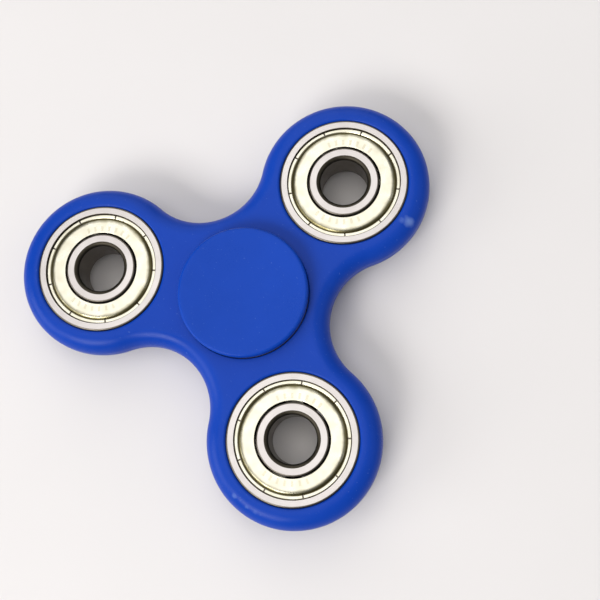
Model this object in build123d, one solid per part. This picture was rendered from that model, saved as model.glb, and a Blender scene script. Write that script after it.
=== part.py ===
from build123d import *
import math
import os

# A three-armed hand spinner. One moulded body holds four 608 ball bearings: the middle one is
# gripped between two thumb caps, and the one in each arm is a weight with an open bore, whose
# inner ring can turn by itself.
# Millimetres. +Z is the spin axis. The origin is on that axis, at the bottom cap's rim, which is
# what the spinner stands on. Arm 1 points along +Y, and the others follow anticlockwise.

# ---- Body ----
ARM_COUNT = 3
FIRST_ARM_ANGLE = 90.0
ARM_DISTANCE = 25.6  # from the spin axis to the middle of an arm's bearing
LOBE_RADIUS = 14.7  # outside of an arm, about its bearing
EDGE_ROUND = 3.0  # round the whole outline, on both faces
SEAT_EDGE_ROUND = 0.35  # the softened lip of each bearing's seat

# ---- Rings of a 608 bearing ----
BORE_RADIUS = 4.0
BEARING_RADIUS = 11.0
BEARING_WIDTH = 7.0
OUTER_CORNER = 0.3
BORE_CORNER = 0.6
LAND_CORNER = 0.18
INNER_LAND_RADIUS = 6.0
OUTER_LAND_RADIUS = 9.0

# ---- Balls and raceways ----
BALL_COUNT = 7
BALL_RADIUS = 3.969 / 2
PITCH_RADIUS = 7.5
RUNNING_GAP = 0.03  # between a ball and the bottom of each raceway
RACEWAY_RADIUS = 1.04 * BALL_RADIUS

# ---- Shield, pressed from sheet, and the groove that holds it ----
SHIELD_SHEET = 0.25
SHIELD_BORE_RADIUS = 6.3
SHIELD_RECESS = 0.2  # from the face of the rings down to the shield's flat
SHIELD_FLAT_RADIUS = 8.3
SHIELD_CREASE_RADIUS = 8.9
SHIELD_CREASE_DROP = 0.36  # from the shield's flat down to its crease
SHIELD_SHOULDER_BULGE = 0.075
SHIELD_RIM_RADIUS = 9.46
SHIELD_RIM_RISE = 0.06
SHIELD_EDGE_RADIUS = 9.72
SHIELD_EDGE_DROP = 0.1
SLIT_COUNT = 9  # in the rim, so that it can spring under the lip
SLIT_WIDTH = 0.2
SLIT_END_RADIUS = 0.14
SLIT_START = 9.04
LIP_RADIUS = 9.6
LIP_HEIGHT = 0.38
GROOVE_RADIUS = 9.78

# ---- Cage, two stamped halves and their rivets ----
CAGE_SHEET = 0.3
CAGE_INSIDE_RADIUS = 6.6
CAGE_OUTSIDE_RADIUS = 8.4
POCKET_GAP = 0.08
RIVET_RADIUS = 0.35
RIVET_HOLE_GAP = 0.01
RIVET_HEAD_RADIUS = 0.62
RIVET_HEAD_HEIGHT = 0.3

# ---- Thumb caps ----
CAP_RADIUS = 11.0
CAP_RIM_THICKNESS = 1.65
CAP_STANDOFF = 0.65  # height of the collar that keeps the disc off the bearing
CAP_COLLAR_RADIUS = 5.4
CAP_PLUG_LENGTH = 3.2
CAP_PLUG_LEAD = 0.4
CAP_FACE_ROUND = 0.5
CAP_UNDER_ROUND = 0.2
CAP_DISH_RADIUS = 10.1
CAP_DISH_DEPTH = 0.6

# ---- Worked out from those ----
HALF_WIDTH = BEARING_WIDTH / 2
MIDDLE_HEIGHT = CAP_RIM_THICKNESS + CAP_STANDOFF + HALF_WIDTH
BALL_STEP = 360.0 / BALL_COUNT
ARM_STEP = 360.0 / ARM_COUNT
SHIELD_TOP = HALF_WIDTH - SHIELD_RECESS
SHIELD_CREASE = SHIELD_TOP - SHIELD_CREASE_DROP
SHELF_HEIGHT = SHIELD_CREASE - SHIELD_SHEET

# How far each bearing happens to be turned in its seat, in degrees.
SEAT_TURNS = {"centre": 12.0, "arm_1": 32.0, "arm_2": 38.0, "arm_3": 2.0}

# Every piece below is made about its own axis with z = 0 at the middle of the bearings' width.
# main() then puts it in its place.


def polar(radius, degrees):
    angle = math.radians(degrees)
    return Vector(radius * math.cos(angle), radius * math.sin(angle))


def arm_angle(index):
    return FIRST_ARM_ANGLE + index * ARM_STEP


def seat_centres():
    """Where each of the four bearings sits: one in the middle and one in every arm."""
    centres = {"centre": Vector(0, 0)}
    for index in range(ARM_COUNT):
        centres[f"arm_{index + 1}"] = polar(ARM_DISTANCE, arm_angle(index))
    return centres


def turned(outline):
    """The solid that a closed outline, drawn as radius and height, makes round the Z axis."""
    return revolve(make_face(Plane.XZ * outline), Axis.Z, 360)


def other_side(shape):
    """The same piece on the underside."""
    return mirror(shape, about=Plane.XY)


def circles(shape, radius):
    """The round edges of that radius about the Z axis, the lowest first."""
    edges = shape.edges().filter_by(GeomType.CIRCLE)
    return edges.filter_by(lambda edge: abs(edge.radius - radius) < 1e-6).sort_by(Axis.Z)


# ---- Body ----


def body_outline():
    """Three lobes joined by three hollow arcs. The centres of all six lie on one circle, 60 degrees
    apart, so a lobe's radius and a hollow's add up to the arm distance and the arcs are tangent."""
    hollow_radius = ARM_DISTANCE - LOBE_RADIUS
    share = LOBE_RADIUS / ARM_DISTANCE
    arcs = []
    for index in range(ARM_COUNT):
        angle = arm_angle(index)
        lobe = polar(ARM_DISTANCE, angle)
        next_lobe = polar(ARM_DISTANCE, angle + ARM_STEP)
        hollow_before = polar(ARM_DISTANCE, angle - ARM_STEP / 2)
        hollow_after = polar(ARM_DISTANCE, angle + ARM_STEP / 2)
        start = lobe + (hollow_before - lobe) * share
        end = lobe + (hollow_after - lobe) * share
        next_start = next_lobe + (hollow_after - next_lobe) * share
        tip = polar(ARM_DISTANCE + LOBE_RADIUS, angle)
        waist = polar(ARM_DISTANCE - hollow_radius, angle + ARM_STEP / 2)
        arcs.append(ThreePointArc(start, tip, end))
        arcs.append(ThreePointArc(end, waist, next_start))
    return make_face(arcs)


def make_body():
    """A plate as thick as the bearings, rounded all round, with a through seat for each bearing."""
    plate = extrude(body_outline(), amount=HALF_WIDTH, both=True)
    faces = plate.faces().sort_by(Axis.Z)
    plate = fillet(faces[0].edges() + faces[-1].edges(), EDGE_ROUND)
    for centre in seat_centres().values():
        plate -= Pos(centre.X, centre.Y, 0) * Cylinder(BEARING_RADIUS, 2 * BEARING_WIDTH)
    return fillet(circles(plate, BEARING_RADIUS), SEAT_EDGE_ROUND)


# ---- Bearing ----


def make_outer_ring():
    """A raceway in the middle, and near each face a shelf, a groove and a lip for the shield."""
    lip_foot = HALF_WIDTH - LIP_HEIGHT
    slope = GROOVE_RADIUS - LIP_RADIUS
    profile = Polyline(
        (OUTER_LAND_RADIUS, SHELF_HEIGHT),
        (GROOVE_RADIUS, SHELF_HEIGHT),
        (GROOVE_RADIUS, lip_foot - slope),
        (LIP_RADIUS, lip_foot),
        (LIP_RADIUS, HALF_WIDTH),
        (BEARING_RADIUS, HALF_WIDTH),
        (BEARING_RADIUS, 0),
        (OUTER_LAND_RADIUS, 0),
        close=True,
    )
    half = turned(profile)
    ring = half + other_side(half)
    raceway_centre = PITCH_RADIUS + BALL_RADIUS + RUNNING_GAP - RACEWAY_RADIUS
    ring -= Torus(raceway_centre, RACEWAY_RADIUS)
    return fillet(circles(ring, BEARING_RADIUS), OUTER_CORNER)


def make_inner_ring():
    """A raceway round the outside, and rounded corners at the bore and at the faces."""
    ring = Cylinder(INNER_LAND_RADIUS, BEARING_WIDTH) - Cylinder(BORE_RADIUS, BEARING_WIDTH)
    ring = fillet(circles(ring, BORE_RADIUS), BORE_CORNER)
    ring = fillet(circles(ring, INNER_LAND_RADIUS), LAND_CORNER)
    raceway_centre = PITCH_RADIUS - BALL_RADIUS - RUNNING_GAP + RACEWAY_RADIUS
    return ring - Torus(raceway_centre, RACEWAY_RADIUS)


def ball_places():
    return [Pos(polar(PITCH_RADIUS, index * BALL_STEP)) for index in range(BALL_COUNT)]


def rivet_places():
    """Halfway between the balls."""
    return [Pos(polar(PITCH_RADIUS, (index + 0.5) * BALL_STEP)) for index in range(BALL_COUNT)]


def make_balls():
    return Compound([place * Solid.make_sphere(BALL_RADIUS) for place in ball_places()])


def make_cage_half():
    """A stamped ribbon that is flat at the rivets and domed over each ball."""
    pocket_radius = BALL_RADIUS + POCKET_GAP
    dome_radius = pocket_radius + CAGE_SHEET
    ribbon = extrude(Circle(CAGE_OUTSIDE_RADIUS), amount=CAGE_SHEET)
    for place in ball_places():
        ribbon += place * Sphere(dome_radius)
    ring = Circle(CAGE_OUTSIDE_RADIUS) - Circle(CAGE_INSIDE_RADIUS)
    ribbon &= extrude(ring, amount=dome_radius)
    for place in ball_places():
        ribbon -= place * Sphere(pocket_radius)
    for place in rivet_places():
        ribbon -= place * Cylinder(RIVET_RADIUS + RIVET_HOLE_GAP, dome_radius)
    return ribbon


def make_rivets():
    """Shanks through both halves, with a low dome closed over each end."""
    dome_radius = (RIVET_HEAD_RADIUS**2 + RIVET_HEAD_HEIGHT**2) / (2 * RIVET_HEAD_HEIGHT)
    tip = CAGE_SHEET + RIVET_HEAD_HEIGHT
    slab = Pos(0, 0, tip) * Cylinder(2 * RIVET_HEAD_RADIUS, 2 * RIVET_HEAD_HEIGHT)
    head = slab & Pos(0, 0, tip - dome_radius) * Sphere(dome_radius)
    shank = Cylinder(RIVET_RADIUS, 2 * CAGE_SHEET + RIVET_HEAD_HEIGHT)
    rivet = (shank + head + other_side(head)).solid()
    return Compound([place * rivet for place in rivet_places()])


def make_shield():
    """A pressed ring: a flat, a rounded shoulder, a crease and a slit rim under the ring's lip."""
    rim = SHIELD_CREASE + SHIELD_RIM_RISE
    edge = rim - SHIELD_EDGE_DROP
    shoulder = Vector(
        (SHIELD_FLAT_RADIUS + SHIELD_CREASE_RADIUS) / 2 + SHIELD_SHOULDER_BULGE,
        (SHIELD_TOP + SHIELD_CREASE) / 2 + SHIELD_SHOULDER_BULGE,
    )
    through_sheet = Vector(-SHIELD_SHEET / 2, -SHIELD_SHEET)
    flat_end = Vector(SHIELD_FLAT_RADIUS, SHIELD_TOP)
    crease = Vector(SHIELD_CREASE_RADIUS, SHIELD_CREASE)
    lower_right = (SHIELD_EDGE_RADIUS, SHELF_HEIGHT)
    lower_left = (SHIELD_BORE_RADIUS, SHIELD_TOP - SHIELD_SHEET)
    profile = [
        Line(lower_left, (SHIELD_BORE_RADIUS, SHIELD_TOP)),
        Line((SHIELD_BORE_RADIUS, SHIELD_TOP), flat_end),
        ThreePointArc(flat_end, shoulder, crease),
        Line(crease, (SHIELD_RIM_RADIUS, rim)),
        Line((SHIELD_RIM_RADIUS, rim), (SHIELD_EDGE_RADIUS, edge)),
        Line((SHIELD_EDGE_RADIUS, edge), lower_right),
        Line(lower_right, crease + through_sheet),
        ThreePointArc(crease + through_sheet, shoulder + through_sheet, flat_end + through_sheet),
        Line(flat_end + through_sheet, lower_left),
    ]
    shield = turned(Curve(profile))
    run = BEARING_RADIUS - SLIT_START
    slit = Pos(SLIT_START + run / 2, 0, SHIELD_TOP) * Box(run, SLIT_WIDTH, HALF_WIDTH)
    slit += Pos(SLIT_START, 0, SHIELD_TOP) * Cylinder(SLIT_END_RADIUS, HALF_WIDTH)
    for index in range(SLIT_COUNT):
        shield -= Rot(0, 0, index * 360.0 / SLIT_COUNT) * slit
    return shield


def make_bearing():
    """Every piece of one bearing, by name."""
    cage_half = make_cage_half()
    shield = make_shield()
    return {
        "outer_ring": make_outer_ring(),
        "inner_ring": make_inner_ring(),
        "balls": make_balls(),
        "cage_upper_half": cage_half,
        "cage_lower_half": other_side(cage_half),
        "cage_rivets": make_rivets(),
        "upper_shield": shield,
        "lower_shield": other_side(shield),
    }


# ---- Thumb caps ----


def make_cap():
    """A dished disc, a collar that stands on the bearing's inner ring, and a plug for its bore."""
    face = HALF_WIDTH
    under = face + CAP_STANDOFF
    top = under + CAP_RIM_THICKNESS
    plug_end = face - CAP_PLUG_LENGTH
    profile = Polyline(
        (0, plug_end),
        (BORE_RADIUS - CAP_PLUG_LEAD, plug_end),
        (BORE_RADIUS, plug_end + CAP_PLUG_LEAD),
        (BORE_RADIUS, face),
        (CAP_COLLAR_RADIUS, face),
        (CAP_COLLAR_RADIUS, under),
        (CAP_RADIUS, under),
        (CAP_RADIUS, top),
        (0, top),
        close=True,
    )
    cap = turned(profile)
    cap = fillet(circles(cap, CAP_RADIUS)[-1], CAP_FACE_ROUND)
    cap = fillet(circles(cap, CAP_RADIUS)[0], CAP_UNDER_ROUND)
    dish_radius = (CAP_DISH_RADIUS**2 + CAP_DISH_DEPTH**2) / (2 * CAP_DISH_DEPTH)
    return cap - Pos(0, 0, top - CAP_DISH_DEPTH + dish_radius) * Sphere(dish_radius)


def main():
    cap = make_cap()
    parts = {"body": make_body(), "top_cap": cap, "bottom_cap": other_side(cap)}
    bearing = make_bearing()
    for seat, centre in seat_centres().items():
        for piece, shape in bearing.items():
            parts[f"{seat}_{piece}"] = Pos(centre.X, centre.Y, 0) * Rot(0, 0, SEAT_TURNS[seat]) * shape
    os.makedirs("parts", exist_ok=True)
    for name, shape in parts.items():
        export_step(Pos(0, 0, MIDDLE_HEIGHT) * shape, f"parts/{name}.step")


main()
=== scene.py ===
import math

import bmesh
import bpy
from mathutils import Matrix, Vector


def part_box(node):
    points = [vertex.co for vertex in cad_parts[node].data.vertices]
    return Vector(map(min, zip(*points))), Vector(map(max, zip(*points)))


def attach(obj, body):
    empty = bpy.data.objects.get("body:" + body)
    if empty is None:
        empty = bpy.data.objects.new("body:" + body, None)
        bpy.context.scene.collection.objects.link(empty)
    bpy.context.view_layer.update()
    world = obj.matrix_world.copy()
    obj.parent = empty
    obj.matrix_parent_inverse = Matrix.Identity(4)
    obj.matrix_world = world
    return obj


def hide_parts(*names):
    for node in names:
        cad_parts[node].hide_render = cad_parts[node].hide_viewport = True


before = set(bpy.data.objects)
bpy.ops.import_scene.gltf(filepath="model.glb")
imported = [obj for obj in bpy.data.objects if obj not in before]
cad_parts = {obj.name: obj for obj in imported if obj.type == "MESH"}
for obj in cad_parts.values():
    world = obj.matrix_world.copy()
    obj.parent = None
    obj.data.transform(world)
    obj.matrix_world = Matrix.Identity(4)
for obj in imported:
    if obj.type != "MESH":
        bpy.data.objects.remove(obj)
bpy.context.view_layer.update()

MM = 0.001
SEATS = ("centre", "arm_1", "arm_2", "arm_3")

# ---- Sizes, in millimetres. Places and outer sizes come from the frame, further down. ----

EDGE_ROUND = 3.0
ARM_MOUTH_ROUND = 0.48  # the softened mouths of the bearings' seats
CENTRE_MOUTH_ROUND = 0.15
PARTING_RIDGE = 0.025
PARTING_RIDGE_WIDTH = 0.14

BORE_RADIUS = 4.0
BORE_CORNER = 0.68  # the rounds of a ring's corners
OUTER_CORNER = 0.32
LAND_CORNER = 0.26
LIP_CORNER = 0.04
OUTER_LAND_RADIUS = 9.0
BALL_RADIUS = 3.969 / 2
PITCH_RADIUS = 7.5
RUNNING_GAP = 0.03
RACEWAY_RADIUS = 1.04 * BALL_RADIUS

SHIELD_SHEET = 0.25
SHIELD_RECESS = 0.2
SHIELD_BORE_RADIUS = 6.3
SHIELD_FLAT_RADIUS = 8.18
SHIELD_CREASE_RADIUS = 8.97
SHIELD_CREASE_DROP = 0.36
SHIELD_RIM_START = 9.12
SHIELD_RIM_END = 9.54
SHIELD_RIM_RISE = 0.11
SHIELD_EDGE_DROP = 0.06
SHIELD_BORE_CORNER = 0.06
SHIELD_RIM_INNER_ROUND = 0.08
SHIELD_RIM_OUTER_ROUND = 0.12
SLIT_COUNT = 9
SLIT_WIDTH = 0.26
LIP_RADIUS = 9.7
LIP_HEIGHT = 0.38
GROOVE_RADIUS = 9.78

CAP_STANDOFF = 0.65
CAP_COLLAR_RADIUS = 5.4
CAP_COLLAR_ROUND = 0.1
CAP_PLUG_LENGTH = 3.2
CAP_PLUG_LEAD = 0.4
CAP_FACE_ROUND = 0.5
CAP_UNDER_ROUND = 0.2
CAP_DISH_RADIUS = 10.1
CAP_DISH_DEPTH = 0.6
CAP_DISH_MARGIN = 0.12  # flat rim beside the dish, to keep the dish's edge crisp

TOLERANCE = 0.001  # for telling whether a point lies on a radius or a height
SUPPORT = 0.03  # how far beside a rounded corner the flat surface is held flat
WALL_SUPPORT = 0.5  # how far from its middle a ring's round wall has a row of vertices
TURN_STEPS = 240  # round a lathed piece
CORNER_STEPS = 6
SHOULDER_STEPS = 10  # down a shield's shoulder
DISH_STEPS = 40  # from a cap's rim to the middle of its dish
ARC_STEPS = 72  # along each third of a turn of the body's outline
EDGE_STEPS = 14  # round a quarter of the body's edge
SMOOTH_ANGLE = math.radians(35)

THIRD_TURN = 120.0  # degrees
FIRST_ARM_ANGLE = 90.0  # degrees from the X axis, to the arm whose lobe reaches furthest up Y

# How far each bearing happens to be turned in its seat, in degrees.
SEAT_TURNS = {"centre": 12.0, "arm_1": 32.0, "arm_2": 38.0, "arm_3": 2.0}


def node_box(node):
    low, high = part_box(node)
    return low / MM, high / MM


def node_radius(node):
    low, high = node_box(node)
    return (high.x - low.x) / 2


def seat_centre(seat):
    """The middle of a bearing."""
    low, high = node_box(f"{seat}_outer_ring")
    return (low + high) / 2


BODY_LOW, BODY_HIGH = node_box("body")
HALF_WIDTH = (BODY_HIGH.z - BODY_LOW.z) / 2
MIDDLE_HEIGHT = (BODY_HIGH.z + BODY_LOW.z) / 2
ARM_DISTANCE = seat_centre("arm_1").xy.length
LOBE_RADIUS = BODY_HIGH.y - ARM_DISTANCE
BEARING_RADIUS = node_radius("centre_outer_ring")
INNER_LAND_RADIUS = node_radius("centre_inner_ring")
SHIELD_EDGE_RADIUS = node_radius("centre_upper_shield")
CAP_RADIUS = node_radius("top_cap")
CAP_TOP = node_box("top_cap")[1].z - MIDDLE_HEIGHT
SHIELD_TOP = HALF_WIDTH - SHIELD_RECESS
SHIELD_CREASE = SHIELD_TOP - SHIELD_CREASE_DROP
SHELF_HEIGHT = SHIELD_CREASE - SHIELD_SHEET


# ---- Outlines and meshes. Outlines are lists of (radius, height) points in millimetres. ----


def polar(radius, degrees):
    angle = math.radians(degrees)
    return Vector((radius * math.cos(angle), radius * math.sin(angle)))


def arc(start, end, centre, steps):
    """Points from start to end about centre, the shorter way round."""
    first = start - centre
    last = end - centre
    angle = math.atan2(first.x * last.y - first.y * last.x, first.dot(last))
    return [centre + Matrix.Rotation(angle * step / steps, 2) @ first for step in range(steps + 1)]


def rounded(corners, steps=CORNER_STEPS):
    """An outline in which a corner with a third number is rounded to that radius."""
    points = []
    for index, corner in enumerate(corners):
        here = Vector(corner[:2])
        if len(corner) == 2:
            points.append(here)
            continue
        before = (Vector(corners[index - 1][:2]) - here).normalized()
        after = (Vector(corners[(index + 1) % len(corners)][:2]) - here).normalized()
        half_angle = before.angle(after) / 2
        reach = corner[2] / math.tan(half_angle)
        centre = here + (before + after).normalized() * (corner[2] / math.sin(half_angle))
        points.append(here + before * (reach + SUPPORT))
        points += arc(here + before * reach, here + after * reach, centre, steps)
        points.append(here + after * (reach + SUPPORT))
    return points


def both_sides(upper):
    """An outline whose lower half mirrors its upper half."""
    return [Vector((point.x, -point.y)) for point in reversed(upper)] + upper


def finish_mesh(name, bm):
    """The mesh object of what has been built, smooth but for its corners."""
    bmesh.ops.recalc_face_normals(bm, faces=bm.faces)
    mesh = bpy.data.meshes.new(name)
    bm.to_mesh(mesh)
    bm.free()
    mesh.shade_smooth()
    mesh.set_sharp_from_angle(angle=SMOOTH_ANGLE)
    piece = bpy.data.objects.new(name, mesh)
    bpy.context.scene.collection.objects.link(piece)
    return piece


def add_face(bm, corners):
    """A face through the corners that differ, if there are enough of them."""
    different = list(dict.fromkeys(corners))
    if len(different) > 2:
        bm.faces.new(different)


def column(bm, outline, angle, poles):
    """The outline's points at one angle. Points on the axis are shared by all columns."""
    vertices = []
    for index, point in enumerate(outline):
        place = Vector((point.x * math.cos(angle), point.x * math.sin(angle), point.y)) * MM
        if index in poles:
            vertices.append(poles[index])
            continue
        vertices.append(bm.verts.new(place))
        if point.x == 0:
            poles[index] = vertices[-1]
    return vertices


def min_turn(angle, others):
    """How far an angle is from the nearest of the others."""
    return min(abs((angle - other + math.pi) % (2 * math.pi) - math.pi) for other in others)


def turn_angles(slits):
    """The angles at which a lathed outline stands, each with whether a slit opens after it."""
    angles = [(2 * math.pi * step / TURN_STEPS, False) for step in range(TURN_STEPS)]
    if not slits:
        return angles
    half_slit = SLIT_WIDTH / 2 / SHIELD_CREASE_RADIUS
    slit_angles = [2 * math.pi * index / slits for index in range(slits)]
    clear = 1.5 * half_slit
    angles = [pair for pair in angles if min_turn(pair[0], slit_angles) > clear]
    angles += [(angle - half_slit, True) for angle in slit_angles]
    angles += [(angle + half_slit, False) for angle in slit_angles]
    return sorted(angles)


def close_slit(bm, here, there, cut):
    """The two cheeks of a slit and its inner end. The cut points are the outline's outer ones."""
    bm.faces.new([here[index] for index in cut])
    bm.faces.new([there[index] for index in cut])
    bm.faces.new([here[cut[0]], there[cut[0]], there[cut[-1]], here[cut[-1]]])


def lathe(name, outline, slits=0):
    """A closed outline turned about the Z axis. Slits cut what lies beyond the shield's crease,
    where the outline has to have a point on each of its two faces."""
    bm = bmesh.new()
    angles = turn_angles(slits)
    poles = {}
    columns = [column(bm, outline, angle, poles) for angle, _ in angles]
    count = len(outline)
    cut = [index for index in range(count) if outline[index].x > SHIELD_CREASE_RADIUS - TOLERANCE]
    for step, (_, opens_slit) in enumerate(angles):
        here = columns[step]
        there = columns[(step + 1) % len(columns)]
        for index in range(count):
            after = (index + 1) % count
            if not (opens_slit and index in cut and after in cut):
                add_face(bm, [here[index], there[index], there[after], here[after]])
        if opens_slit:
            close_slit(bm, here, there, cut)
    return finish_mesh(name, bm)


def place_at_seat(piece, seat, upside_down=False):
    """Puts a piece that was made about its own axis where its bearing is. Its turn is in its mesh."""
    turn = Matrix.Rotation(math.radians(SEAT_TURNS[seat]), 4, "Z")
    if upside_down:
        turn = turn @ Matrix.Rotation(math.pi, 4, "X")
    piece.data.transform(turn)
    piece.location = seat_centre(seat) * MM


def use(piece, body, node, materials):
    """A piece that stands for a CAD node, with its body, material slot and materials."""
    for material in materials:
        piece.data.materials.append(material)
    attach(piece, body)
    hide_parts(node)


# ---- Body ----


def body_outline():
    """Points round the body, each with the direction out of it. Lobes and hollows alternate, and
    all six are centred on one circle, so every arc meets the next in a tangent."""
    hollow_radius = ARM_DISTANCE - LOBE_RADIUS
    step_angle = THIRD_TURN / ARC_STEPS
    points = []
    for index in range(3):
        lobe_angle = FIRST_ARM_ANGLE + THIRD_TURN * index
        hollow_angle = lobe_angle + THIRD_TURN / 2
        for step in range(2 * ARC_STEPS):
            out = polar(1, lobe_angle - THIRD_TURN + step_angle * step)
            points.append((polar(ARM_DISTANCE, lobe_angle) + out * LOBE_RADIUS, out))
        for step in range(ARC_STEPS):
            inward = polar(1, hollow_angle - THIRD_TURN - step_angle * step)
            points.append((polar(ARM_DISTANCE, hollow_angle) + inward * hollow_radius, -inward))
    return points


def body_edge():
    """How far in from the outline, and how high, the body's edge goes from its top to its bottom.
    The parting ridge runs round its middle."""
    high = HALF_WIDTH
    side = PARTING_RIDGE
    flat_start = side + EDGE_ROUND
    start = Vector((flat_start, high))
    end = Vector((side, high - EDGE_ROUND))
    upper = [Vector((flat_start + SUPPORT, high))]
    upper += arc(start, end, Vector((flat_start, high - EDGE_ROUND)), EDGE_STEPS)
    upper.append(Vector((side, PARTING_RIDGE_WIDTH / 2)))
    upper.append(Vector((0, PARTING_RIDGE_WIDTH / 6)))
    return upper + [Vector((point.x, -point.y)) for point in reversed(upper)]


def seat_edge(mouth_round):
    """The radius and height down a bearing's seat, from its rounded mouth to the other."""
    start = Vector((BEARING_RADIUS + mouth_round, HALF_WIDTH))
    end = Vector((BEARING_RADIUS, HALF_WIDTH - mouth_round))
    upper = [start + Vector((SUPPORT, 0))]
    upper += arc(start, end, Vector((start.x, end.y)), CORNER_STEPS)
    return upper + [Vector((point.x, -point.y)) for point in reversed(upper)]


def body_wall(bm):
    """The columns of vertices round the outside of the body."""
    edge = body_edge()
    columns = []
    for place, out in body_outline():
        columns.append([bm.verts.new((*((place - out * point.x) * MM), point.y * MM)) for point in edge])
    return columns


def seat_wall(bm, seat):
    """The columns of vertices round the seat of a bearing."""
    middle = seat_centre(seat).xy
    edge = seat_edge(CENTRE_MOUTH_ROUND if seat == "centre" else ARM_MOUTH_ROUND)
    columns = []
    for step in range(TURN_STEPS):
        out = polar(1, 360 * step / TURN_STEPS)
        columns.append([bm.verts.new((*((middle + out * point.x) * MM), point.y * MM)) for point in edge])
    return columns


def skin(bm, columns):
    """Faces from each column of vertices to the next, all the way round."""
    for step, here in enumerate(columns):
        there = columns[(step + 1) % len(columns)]
        for index in range(len(here) - 1):
            bm.faces.new([here[index], there[index], there[index + 1], here[index + 1]])


def fill_between(bm, walls, end):
    """The flat face between the walls, at the start (0) or the end (-1) of their columns."""
    rims = []
    for columns in walls:
        loop = [vertices[end] for vertices in columns]
        rims += [bm.edges.get((loop[index - 1], loop[index])) for index in range(len(loop))]
    bmesh.ops.triangle_fill(bm, use_beauty=True, edges=rims, normal=(0, 0, 1))


def make_body():
    bm = bmesh.new()
    walls = [body_wall(bm)] + [seat_wall(bm, seat) for seat in SEATS]
    for columns in walls:
        skin(bm, columns)
    for end in (0, -1):
        fill_between(bm, walls, end)
    body = finish_mesh("spinner_body", bm)
    body.location.z = MIDDLE_HEIGHT * MM
    use(body, "rotor", "body", [body_plastic()])


# ---- Bearings ----


def groove(centre, land_radius, half_height):
    """The upper half of a raceway, from its middle up to the land."""
    middle = Vector((centre, 0))
    edge = Vector((land_radius, half_height))
    bottom = Vector((centre + math.copysign(RACEWAY_RADIUS, land_radius - centre), 0))
    return [tuple(point) for point in arc(bottom, edge, middle, CORNER_STEPS)[1:]]


def outer_race_outline():
    raceway_centre = PITCH_RADIUS + BALL_RADIUS + RUNNING_GAP - RACEWAY_RADIUS
    groove_half = math.sqrt(RACEWAY_RADIUS**2 - (OUTER_LAND_RADIUS - raceway_centre) ** 2)
    lip_foot = HALF_WIDTH - LIP_HEIGHT
    lip_slope = GROOVE_RADIUS - LIP_RADIUS
    upper = [
        *groove(raceway_centre, OUTER_LAND_RADIUS, groove_half),
        (OUTER_LAND_RADIUS, SHELF_HEIGHT),
        (GROOVE_RADIUS, SHELF_HEIGHT),
        (GROOVE_RADIUS, lip_foot - lip_slope),
        (LIP_RADIUS, lip_foot),
        (LIP_RADIUS, HALF_WIDTH, LIP_CORNER),
        (BEARING_RADIUS, HALF_WIDTH, OUTER_CORNER),
        (BEARING_RADIUS, WALL_SUPPORT),
    ]
    return both_sides(rounded(upper))


def inner_race_outline():
    raceway_centre = PITCH_RADIUS - BALL_RADIUS - RUNNING_GAP + RACEWAY_RADIUS
    groove_half = math.sqrt(RACEWAY_RADIUS**2 - (raceway_centre - INNER_LAND_RADIUS) ** 2)
    upper = [
        *groove(raceway_centre, INNER_LAND_RADIUS, groove_half),
        (INNER_LAND_RADIUS, HALF_WIDTH, LAND_CORNER),
        (BORE_RADIUS, HALF_WIDTH, BORE_CORNER),
        (BORE_RADIUS, WALL_SUPPORT),
    ]
    return both_sides(rounded(upper))


def shield_outline():
    """A flat, a shoulder that rolls down to a crease, and a rim, all in sheet of one thickness."""
    crease = Vector((SHIELD_CREASE_RADIUS, SHIELD_CREASE))
    flat_end = Vector((SHIELD_FLAT_RADIUS, SHIELD_TOP))
    across = crease.x - flat_end.x
    roll = (across**2 + SHIELD_CREASE_DROP**2) / (2 * SHIELD_CREASE_DROP)
    centre = flat_end - Vector((0, roll))
    under_flat = flat_end - Vector((0, SHIELD_SHEET))
    under_crease = crease + (centre - crease).normalized() * SHIELD_SHEET
    rim = SHIELD_CREASE + SHIELD_RIM_RISE
    return rounded(
        [
            (SHIELD_BORE_RADIUS, SHIELD_TOP - SHIELD_SHEET),
            (SHIELD_BORE_RADIUS, SHIELD_TOP, SHIELD_BORE_CORNER),
            *arc(flat_end, crease, centre, SHOULDER_STEPS),
            (SHIELD_RIM_START, rim, SHIELD_RIM_INNER_ROUND),
            (SHIELD_RIM_END, rim, SHIELD_RIM_OUTER_ROUND),
            (SHIELD_EDGE_RADIUS, SHIELD_CREASE - SHIELD_EDGE_DROP),
            (SHIELD_EDGE_RADIUS, SHELF_HEIGHT),
            (SHIELD_CREASE_RADIUS, SHELF_HEIGHT),
            *arc(under_crease, under_flat, centre, SHOULDER_STEPS),
        ]
    )


def mark_painted_shade_faces(ring):
    """Gives an inner or outer ring its second material, painted shade, all over but on its two flat
    faces, and its third, a deeper painted shade, in the corners of its bore."""
    for polygon in ring.data.polygons:
        height = abs(polygon.center.z) / MM
        radius = polygon.center.xy.length / MM
        if height > HALF_WIDTH - TOLERANCE:
            continue
        in_bore_corner = radius < BORE_RADIUS + BORE_CORNER and height > HALF_WIDTH - BORE_CORNER
        polygon.material_index = 2 if in_bore_corner else 1


def make_outer_race(seat):
    ring = lathe(f"{seat}_outer_race", outer_race_outline())
    # Painted shade: the centre outer ring, under the cap, is dark steel all over; an arm's ring is dark
    # on all but its flat faces.
    materials = [painted_shade_steel()]
    if seat != "centre":
        mark_painted_shade_faces(ring)
        materials = [ground_steel(), painted_shade_steel()]
    place_at_seat(ring, seat)
    use(ring, "rotor", f"{seat}_outer_ring", materials)


def make_inner_race(seat):
    ring = lathe(f"{seat}_inner_race", inner_race_outline())
    mark_painted_shade_faces(ring)
    place_at_seat(ring, seat)
    body = "grip" if seat == "centre" else f"{seat}_inner"
    # Painted shade on all but the flat faces, and deeper painted shade in the bore corners.
    materials = [ground_steel(), painted_shade_steel(), painted_deep_shade_steel()]
    use(ring, body, f"{seat}_inner_ring", materials)


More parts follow.
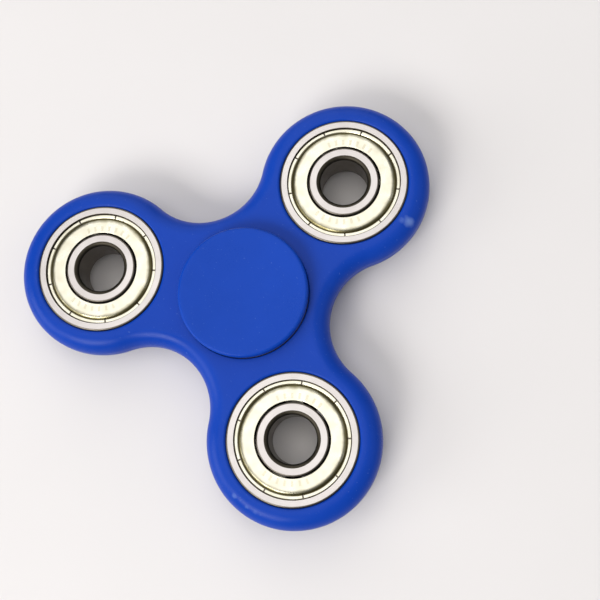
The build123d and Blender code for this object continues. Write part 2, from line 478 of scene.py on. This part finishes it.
def make_shields(seat):
    for side in ("upper", "lower"):
        shield = lathe(f"{seat}_{side}_dust_shield", shield_outline(), SLIT_COUNT)
        place_at_seat(shield, seat, side == "lower")
        use(shield, "rotor", f"{seat}_{side}_shield", [gilt_steel()])


# ---- Thumb caps ----


def cap_outline():
    """From the bottom of the plug, out round the disc, to the middle of the dish."""
    under = HALF_WIDTH + CAP_STANDOFF
    plug_end = HALF_WIDTH - CAP_PLUG_LENGTH
    dish_radius = (CAP_DISH_RADIUS**2 + CAP_DISH_DEPTH**2) / (2 * CAP_DISH_DEPTH)
    dish_centre = Vector((0, CAP_TOP - CAP_DISH_DEPTH + dish_radius))
    dish_start = Vector((CAP_DISH_RADIUS, CAP_TOP))
    dish = arc(dish_start, Vector((0, CAP_TOP - CAP_DISH_DEPTH)), dish_centre, DISH_STEPS)
    dish[-1].x = 0
    corners = [
        (0, plug_end),
        (BORE_RADIUS - CAP_PLUG_LEAD, plug_end),
        (BORE_RADIUS, plug_end + CAP_PLUG_LEAD),
        (BORE_RADIUS, HALF_WIDTH),
        (CAP_COLLAR_RADIUS, HALF_WIDTH),
        (CAP_COLLAR_RADIUS, under, CAP_COLLAR_ROUND),
        (CAP_RADIUS, under, CAP_UNDER_ROUND),
        (CAP_RADIUS, CAP_TOP, CAP_FACE_ROUND),
        (CAP_DISH_RADIUS + CAP_DISH_MARGIN, CAP_TOP),
    ]
    return rounded(corners) + dish[1:]


def make_caps():
    for side in ("top", "bottom"):
        cap = lathe(f"{side}_thumb_cap", cap_outline())
        place_at_seat(cap, "centre", side == "bottom")
        use(cap, "grip", f"{side}_cap", [cap_plastic()])


# ---- Materials ----


class Shader:
    """A node material with one Principled shader, and short ways to add nodes to it."""

    def __init__(self, name, **values):
        self.material = bpy.data.materials.new(name)
        self.material.use_nodes = True
        self.nodes = self.material.node_tree.nodes
        self.links = self.material.node_tree.links
        self.principled = self.nodes["Principled BSDF"]
        for socket, value in values.items():
            self.principled.inputs[socket.replace("_", " ")].default_value = value
        self.place = self.nodes.new("ShaderNodeTexCoord").outputs["Object"]

    def add(self, kind, settings=None, **inputs):
        """A node with its settings, and its inputs given as values or as other nodes' outputs."""
        node = self.nodes.new(kind)
        for name, value in (settings or {}).items():
            setattr(node, name, value)
        for name, value in inputs.items():
            self.feed(node, name.replace("_", " "), value)
        return node

    def feed(self, node, socket, value):
        """Links or sets the input of that name, or of that number if it is given as _0, _1 and so on."""
        target = node.inputs[int(socket[1:]) if socket[1:].isdigit() else socket]
        if isinstance(value, bpy.types.NodeSocket):
            self.links.new(value, target)
        else:
            target.default_value = value

    def noise(self, scale, detail=2.0, roughness=0.5, vector=None):
        """Noise whose features are about scale millimetres across."""
        node = self.add(
            "ShaderNodeTexNoise",
            Vector=vector or self.place,
            Scale=1 / (scale * MM),
            Detail=detail,
            Roughness=roughness,
        )
        return node.outputs["Fac"]

    def remap(self, value, from_low, from_high, to_low, to_high):
        node = self.add("ShaderNodeMapRange", Value=value)
        node.inputs["From Min"].default_value = from_low
        node.inputs["From Max"].default_value = from_high
        node.inputs["To Min"].default_value = to_low
        node.inputs["To Max"].default_value = to_high
        return node.outputs["Result"]

    def maths(self, operation, first, second=0.0):
        node = self.add("ShaderNodeMath", {"operation": operation}, _0=first, _1=second)
        return node.outputs[0]

    def mix(self, share, first, second):
        node = self.add("ShaderNodeMix", {"data_type": "RGBA"})
        self.feed(node, "_0", share)
        self.feed(node, "_6", first)
        self.feed(node, "_7", second)
        return node.outputs[2]

    def bump(self, height, distance, strength=1.0, normal=None):
        """Raises the surface by up to distance millimetres."""
        node = self.add("ShaderNodeBump", Height=height, Distance=distance * MM, Strength=strength)
        if normal:
            self.links.new(normal, node.inputs["Normal"])
        return node.outputs["Normal"]

    def radius(self):
        """Distance from the piece's own axis."""
        flat = self.add("ShaderNodeVectorMath", {"operation": "MULTIPLY"})
        self.links.new(self.place, flat.inputs[0])
        flat.inputs[1].default_value = (1, 1, 0)
        length = self.add("ShaderNodeVectorMath", {"operation": "LENGTH"})
        self.links.new(flat.outputs[0], length.inputs[0])
        return length.outputs["Value"]

    def finish(self, **inputs):
        for name, value in inputs.items():
            self.feed(self.principled, name.replace("_", " "), value)
        return self.material


# Where the body is rubbed pale: x, y, size and strength, in millimetres but for the strength.
BODY_SCUFFS = (
    (12.0, 26.7, 0.85, 0.45),
    (12.9, 27.4, 1.15, 0.55),
    (21.0, -25.7, 0.6, 0.35),
    (22.4, -25.4, 0.5, 0.25),
    (23.7, -25.6, 0.5, 0.3),
    (25.2, -25.3, 0.6, 0.22),
    (26.1, -25.1, 0.4, 0.25),
)
WORN_BLUE = (0.19, 0.3, 0.62, 1)
SCUFF_CORE = 0.3  # the evenly worn share of a scuff's size
SCUFF_RAGGED = 0.35  # how far its edge wanders, as a share of its size
SCUFF_HEIGHT_DROP = 0.6  # how far under the flat face the scuffs are centred, on the rounded edge

# Painted shade down the shields' shoulders into their crease, and the ticks stamped in their flats.
CREASE_SHADE_START_RADIUS = 8.05
CREASE_SHADE_FULL_RADIUS = 8.7
TICKS_PER_TURN = 36
TICK_SHARE = 0.3
TICK_ROW_TURN = math.radians(30)  # from the Y axis to the middle of a row of ticks
TICK_ROW_START = 0.8  # the cosine of half a row's angle
TICK_INNER_RADIUS = 6.65
TICK_OUTER_RADIUS = 7.55

_made = {}


def once(make):
    """Makes a material the first time it is asked for."""

    def made():
        if make.__name__ not in _made:
            _made[make.__name__] = make()
        return _made[make.__name__]

    return made


def moulded(name, colour, pale, roughness, scuffs=()):
    """Injection-moulded plastic: a fine grain, faint flow marks, hairline scratches and scuffs."""
    shader = Shader(name, IOR=1.5, Specular_IOR_Level=0.12)
    clouds = shader.noise(7.0, detail=3.0)
    grain = shader.noise(0.16, detail=3.0)
    base = shader.mix(shader.remap(clouds, 0.35, 0.65, 0.0, 0.5), (*colour, 1), (*pale, 1))
    stretched = shader.add("ShaderNodeMapping", Vector=shader.place)
    stretched.inputs["Rotation"].default_value = (0, 0, 0.7)
    stretched.inputs["Scale"].default_value = (0.05, 1, 1)
    scratches = shader.noise(0.12, detail=2.0, vector=stretched.outputs[0])
    worn = shader.remap(scratches, 0.7, 0.76, 0.0, 0.1)
    specks = shader.remap(shader.noise(0.35, detail=1.0), 0.74, 0.78, 0.0, 0.2)
    worn = shader.maths("MAXIMUM", worn, specks)
    for x, y, size, strength in scuffs:
        worn = shader.maths("MAXIMUM", worn, scuff(shader, (x, y), size, strength))
    base = shader.mix(worn, base, WORN_BLUE)
    cloudy = shader.remap(clouds, 0.3, 0.7, roughness - 0.04, roughness + 0.05)
    rough = shader.maths("ADD", cloudy, shader.remap(grain, 0.3, 0.7, -0.04, 0.04))
    rough = shader.maths("ADD", rough, shader.maths("MULTIPLY", worn, 0.25))
    normal = shader.bump(grain, 0.012, 0.5)
    return shader.finish(Base_Color=base, Roughness=rough, Normal=normal)


def scuff(shader, place, size, strength):
    """How far the plastic is rubbed pale round a place, with a ragged outline."""
    offset = shader.add("ShaderNodeVectorMath", {"operation": "SUBTRACT"})
    shader.links.new(shader.place, offset.inputs[0])
    offset.inputs[1].default_value = Vector((*place, HALF_WIDTH - SCUFF_HEIGHT_DROP)) * MM
    distance = shader.add("ShaderNodeVectorMath", {"operation": "LENGTH"})
    shader.links.new(offset.outputs[0], distance.inputs[0])
    wander = SCUFF_RAGGED * size * MM
    ragged = shader.remap(shader.noise(size * 1.6), 0.2, 0.8, -wander, wander)
    edge = shader.maths("ADD", distance.outputs["Value"], ragged)
    return shader.remap(edge, SCUFF_CORE * size * MM, size * MM, strength, 0.0)


@once
def body_plastic():
    return moulded("body_plastic", (0.003, 0.043, 0.355), (0.006, 0.05, 0.39), 0.32, BODY_SCUFFS)


@once
def cap_plastic():
    return moulded("cap_plastic", (0.002, 0.046, 0.37), (0.005, 0.053, 0.41), 0.32)


@once
def ground_steel():
    """Ground bearing steel, with the fine rings that grinding leaves about the axis."""
    shader = Shader("ground_steel", Metallic=1.0, Anisotropic=0.35)
    lines = shader.add("ShaderNodeTexNoise", {"noise_dimensions": "1D"}, Scale=14000.0, Detail=2.0)
    shader.links.new(shader.radius(), lines.inputs["W"])
    stains = shader.remap(shader.noise(2.2, detail=4.0), 0.4, 0.7, 0.0, 0.6)
    tone = shader.mix(stains, (0.54, 0.51, 0.5, 1), (0.48, 0.45, 0.435, 1))
    rough = shader.remap(lines.outputs["Fac"], 0.2, 0.8, 0.26, 0.42)
    normal = shader.bump(lines.outputs["Fac"], 0.004, 0.5)
    return shader.finish(Base_Color=tone, Roughness=rough, Normal=normal)


def patchy_shade_steel(name, dark, light, rough):
    """Bearing steel patchy between two tones, used for painted shade: the tones given are dark."""
    shader = Shader(name, Metallic=1.0)
    film = shader.noise(1.4, detail=4.0)
    tone = shader.mix(film, (*dark, 1), (*light, 1))
    return shader.finish(Base_Color=tone, Roughness=shader.remap(film, 0.3, 0.7, rough, rough + 0.15))


@once
def painted_shade_steel():
    """Painted shade: steel made dark for the rings' bores, corners and raceways, and for the centre outer
    ring under the cap.
    """
    return patchy_shade_steel("painted_shade_steel", (0.11, 0.095, 0.078), (0.18, 0.16, 0.135), 0.3)


@once
def painted_deep_shade_steel():
    """The corners of the bores, painted near black as deep shade."""
    return patchy_shade_steel("painted_deep_shade_steel", (0.03, 0.027, 0.02), (0.07, 0.06, 0.045), 0.4)


@once
def gilt_steel():
    """Pressed sheet steel with a pale yellow zinc coat, painted shade darkening its shoulder into the
    crease, and stamped ticks.
    """
    shader = Shader("gilt_steel", Metallic=1.0)
    clouds = shader.noise(1.8, detail=4.0)
    speckle = shader.noise(0.09, detail=2.0)
    radius = shader.radius()
    yellowed = shader.remap(clouds, 0.35, 0.7, 0.0, 1.0)
    tone = shader.mix(yellowed, (0.68, 0.66, 0.56, 1), (0.64, 0.61, 0.485, 1))
    # Painted shade: the shoulder darkens towards the crease with a ragged edge, and is clear again up on
    # the rim.
    shade_radius = shader.maths("ADD", radius, shader.remap(clouds, 0.3, 0.7, -0.12 * MM, 0.12 * MM))
    crease_shade = shader.remap(shade_radius, CREASE_SHADE_START_RADIUS * MM, CREASE_SHADE_FULL_RADIUS * MM, 0.0, 0.95)
    inside_rim = shader.remap(radius, SHIELD_CREASE_RADIUS * MM, SHIELD_RIM_START * MM, 1.0, 0.0)
    crease_shade = shader.maths("MULTIPLY", crease_shade, inside_rim)
    tone = shader.mix(crease_shade, tone, (0.13, 0.11, 0.04, 1))
    ticks = stamped_ticks(shader, radius)
    tone = shader.mix(shader.maths("MULTIPLY", ticks, 0.55), tone, (0.5, 0.46, 0.33, 1))
    rough = shader.remap(clouds, 0.3, 0.7, 0.24, 0.36)
    normal = shader.bump(speckle, 0.004, 0.4)
    normal = shader.bump(shader.maths("SUBTRACT", 1.0, ticks), 0.02, 0.6, normal)
    return shader.finish(Base_Color=tone, Roughness=rough, Normal=normal)


def stamped_ticks(shader, radius):
    """Two short rows of plain radial ticks, one each side of the axis."""
    place = shader.add("ShaderNodeSeparateXYZ", Vector=shader.place)
    angle = shader.maths("ARCTAN2", place.outputs["Y"], place.outputs["X"])
    step = shader.maths("FRACT", shader.maths("MULTIPLY", angle, TICKS_PER_TURN / (2 * math.pi)))
    tick = shader.maths("LESS_THAN", step, TICK_SHARE)
    from_row = shader.maths("SINE", shader.maths("SUBTRACT", angle, TICK_ROW_TURN))
    row = shader.maths("GREATER_THAN", shader.maths("ABSOLUTE", from_row), TICK_ROW_START)
    inner = shader.maths("GREATER_THAN", radius, TICK_INNER_RADIUS * MM)
    outer = shader.maths("LESS_THAN", radius, TICK_OUTER_RADIUS * MM)
    band = shader.maths("MULTIPLY", inner, outer)
    return shader.maths("MULTIPLY", shader.maths("MULTIPLY", tick, row), band)


@once
def ball_steel():
    """Polished balls under a film of grease."""
    shader = Shader("ball_steel", Metallic=1.0)
    film = shader.noise(0.8, detail=3.0)
    tone = shader.mix(film, (0.60, 0.59, 0.58, 1), (0.72, 0.70, 0.66, 1))
    return shader.finish(Base_Color=tone, Roughness=shader.remap(film, 0.3, 0.7, 0.08, 0.22))


@once
def cage_steel():
    """Stamped strip, dull and greasy."""
    shader = Shader("cage_steel", Metallic=1.0)
    film = shader.noise(0.9, detail=4.0)
    tone = shader.mix(film, (0.36, 0.33, 0.28, 1), (0.5, 0.47, 0.42, 1))
    normal = shader.bump(shader.noise(0.12), 0.004, 0.5)
    return shader.finish(Base_Color=tone, Roughness=shader.remap(film, 0.3, 0.7, 0.3, 0.5), Normal=normal)


def paint_inner_pieces():
    """The CAD's own balls, cages and rivets stay, in their own steels."""
    for name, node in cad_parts.items():
        if name.endswith("_balls"):
            repaint(node, ball_steel())
        elif "_cage_" in name:
            repaint(node, cage_steel())


def repaint(node, material):
    node.data.materials.clear()
    node.data.materials.append(material)


# ---- Stage ----

FLOOR_SIZE = 1.0  # metres


def make_floor():
    bpy.ops.mesh.primitive_plane_add(size=FLOOR_SIZE)
    floor = bpy.context.object
    floor.name = "floor"
    shader = Shader("floor", Roughness=0.85)
    tone = shader.mix(shader.noise(30.0), (0.7, 0.677, 0.67, 1), (0.725, 0.7, 0.695, 1))
    floor.data.materials.append(shader.finish(Base_Color=tone))


def softbox(name, azimuth, polar_angle, size, power, colour=(1, 1, 1)):
    """A rectangular light 1 m away that faces the spinner. Both angles are in degrees, and the
    polar one is measured from straight up."""
    light = bpy.data.lights.new(name, "AREA")
    light.shape = "RECTANGLE"
    light.size, light.size_y = size
    light.energy = power
    light.color = colour
    lamp = bpy.data.objects.new(name, light)
    across = polar(math.sin(math.radians(polar_angle)), azimuth)
    lamp.location = (*across, math.cos(math.radians(polar_angle)))
    lamp.rotation_euler = (-lamp.location).to_track_quat("-Z", "Y").to_euler()
    bpy.context.scene.collection.objects.link(lamp)


def make_lights():
    softbox("overhead", 180, 9, (0.9, 0.9), 4.2, (1.0, 0.98, 0.95))
    softbox("window", 278, 50, (0.5, 0.36), 6.1, (1.0, 0.99, 0.98))
    softbox("side_window", 140, 56, (0.8, 0.8), 2.8)
    softbox("low_window", 238, 66, (0.55, 0.5), 3.4)
    softbox("pale_wall", 45, 54, (0.8, 0.8), 1.1)


def make_world():
    """Dim, so that steep faces stay dark, but pale where the camera sees past the floor."""
    world = bpy.data.worlds.new("world")
    bpy.context.scene.world = world
    world.use_nodes = True
    nodes = world.node_tree.nodes
    links = world.node_tree.links
    dim = nodes["Background"]
    dim.inputs["Color"].default_value = (0.95, 0.97, 1.0, 1)
    dim.inputs["Strength"].default_value = 0.25
    pale = nodes.new("ShaderNodeBackground")
    pale.inputs["Color"].default_value = (0.84, 0.82, 0.81, 1)
    seen = nodes.new("ShaderNodeLightPath")
    choice = nodes.new("ShaderNodeMixShader")
    links.new(seen.outputs["Is Camera Ray"], choice.inputs["Fac"])
    links.new(dim.outputs["Background"], choice.inputs[1])
    links.new(pale.outputs["Background"], choice.inputs[2])
    links.new(choice.outputs["Shader"], nodes["World Output"].inputs["Surface"])


# Where the camera stands and looks, in millimetres, and how it leans and sees.
CAMERA_PLACE = Vector((37.4, -6.3, 153.7))
CAMERA_AIM = Vector((7.93, 5.29, 9.3))
CAMERA_LEAN = math.radians(-27.7)
CAMERA_LENS = 53.1
CAMERA_SENSOR = 36.0


def make_camera():
    data = bpy.data.cameras.new("camera")
    data.lens = CAMERA_LENS
    data.sensor_width = CAMERA_SENSOR
    data.clip_start = 0.005
    camera = bpy.data.objects.new("camera", data)
    camera.location = CAMERA_PLACE * MM
    look = (CAMERA_AIM - CAMERA_PLACE).to_track_quat("-Z", "Y").to_matrix()
    camera.rotation_euler = (look @ Matrix.Rotation(CAMERA_LEAN, 3, "Z")).to_euler()
    bpy.context.scene.collection.objects.link(camera)
    bpy.context.scene.camera = camera


make_camera()
make_body()
make_caps()
for seat in SEATS:
    make_outer_race(seat)
    make_inner_race(seat)
    make_shields(seat)
paint_inner_pieces()
make_floor()
make_lights()
make_world()
bpy.context.scene.view_settings.view_transform = "Standard"
